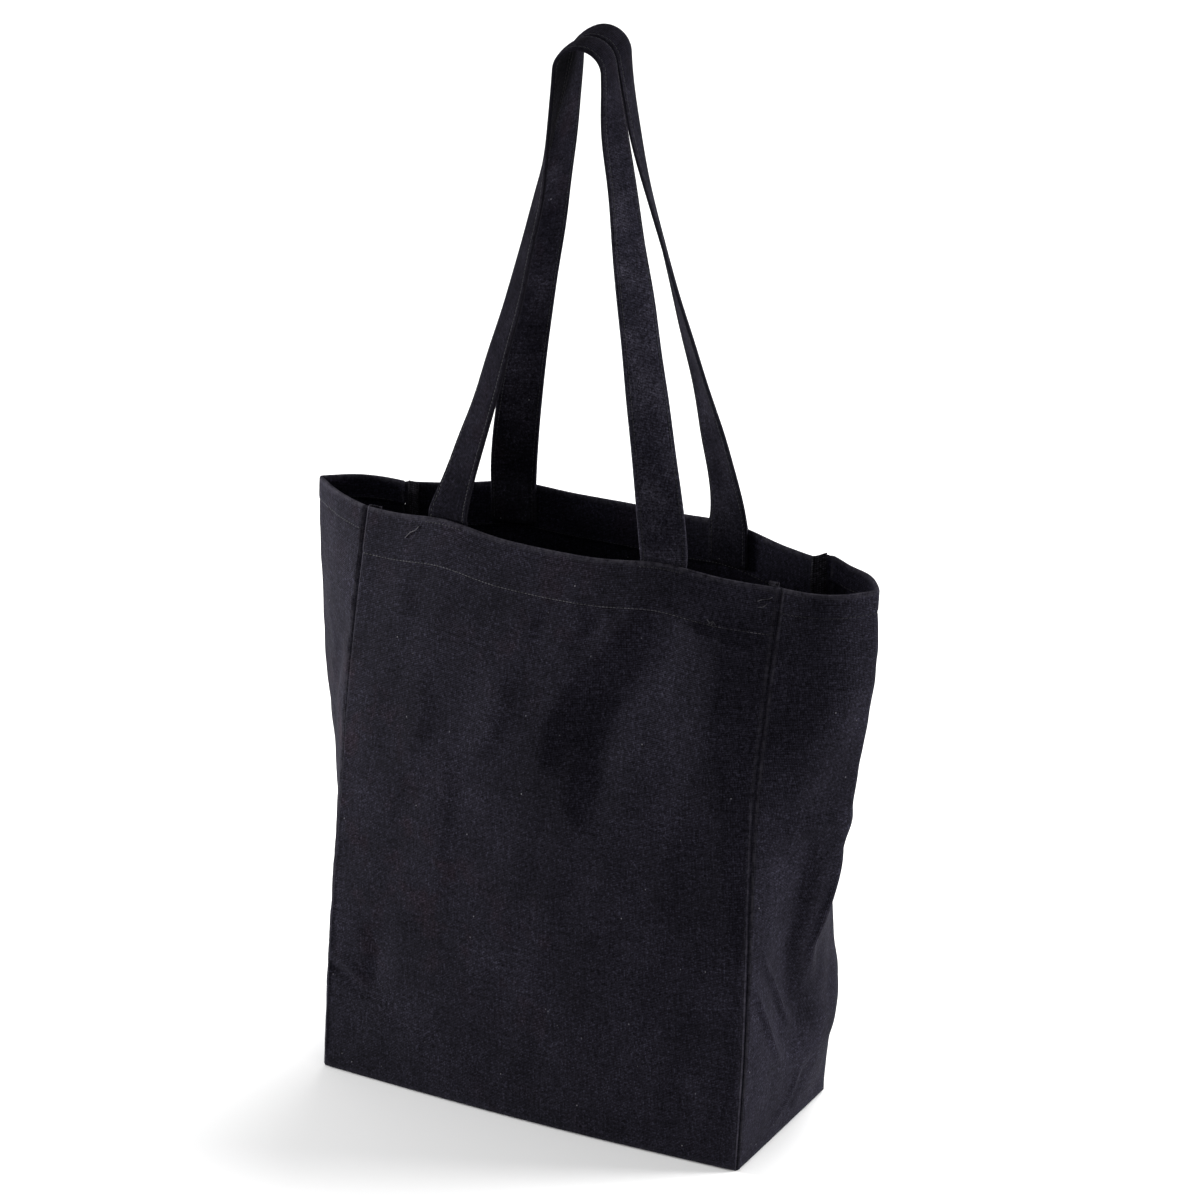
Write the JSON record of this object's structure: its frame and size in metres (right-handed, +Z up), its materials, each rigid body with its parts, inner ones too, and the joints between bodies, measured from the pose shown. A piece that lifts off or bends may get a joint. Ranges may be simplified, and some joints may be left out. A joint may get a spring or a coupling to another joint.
{
  "type": "tote bag",
  "caption": "Open canvas tote bag with a boxed base, folded side gussets, stitched hems and long shoulder straps that fold down outside the mouth.",
  "frame": {"origin": "on the floor under the middle of the base panel", "axes": "+Z up, +X along the front panel towards the right gusset, -Y out of the front panel"},
  "size_m": [0.3967, 0.1389, 0.679],
  "materials": {
    "canvas": "matt plain-weave cotton canvas",
    "strap_canvas": "matt folded canvas strap",
    "seam_edge": "raw overlocked canvas edge",
    "thread": "spun polyester sewing thread"
  },
  "bodies": {
    "bag": {"front_panel": "canvas", "back_panel": "canvas", "left_gusset": "canvas", "right_gusset": "canvas", "bottom_panel": "canvas", "front_hem": "canvas", "back_hem": "canvas", "left_gusset_hem": "canvas", "right_gusset_hem": "canvas", "front_left_seam": "seam_edge", "front_right_seam": "seam_edge", "back_left_seam": "seam_edge", "back_right_seam": "seam_edge", "front_base_seam": "seam_edge", "back_base_seam": "seam_edge", "left_base_seam": "seam_edge", "right_base_seam": "seam_edge", "front_handle_left_end": "strap_canvas", "front_handle_right_end": "strap_canvas", "back_handle_left_end": "strap_canvas", "back_handle_right_end": "strap_canvas", "front_hem_stitching": "thread", "back_hem_stitching": "thread", "left_gusset_stitching": "thread", "right_gusset_stitching": "thread", "front_strap_stitching": "thread", "back_strap_stitching": "thread"},
    "front_handle": {"front_handle": "strap_canvas"},
    "back_handle": {"back_handle": "strap_canvas"}
  },
  "joints": [
    {"name": "front_handle_swing", "type": "hinge", "parent": "bag", "child": "front_handle", "pos_m": [0, -0.0168, 0.3745], "axis": [1, 0, 0], "range_deg": [0, 160]},
    {"name": "back_handle_swing", "type": "hinge", "parent": "bag", "child": "back_handle", "pos_m": [0, 0.0702, 0.3745], "axis": [-1, 0, 0], "range_deg": [0, 160]}
  ]
}
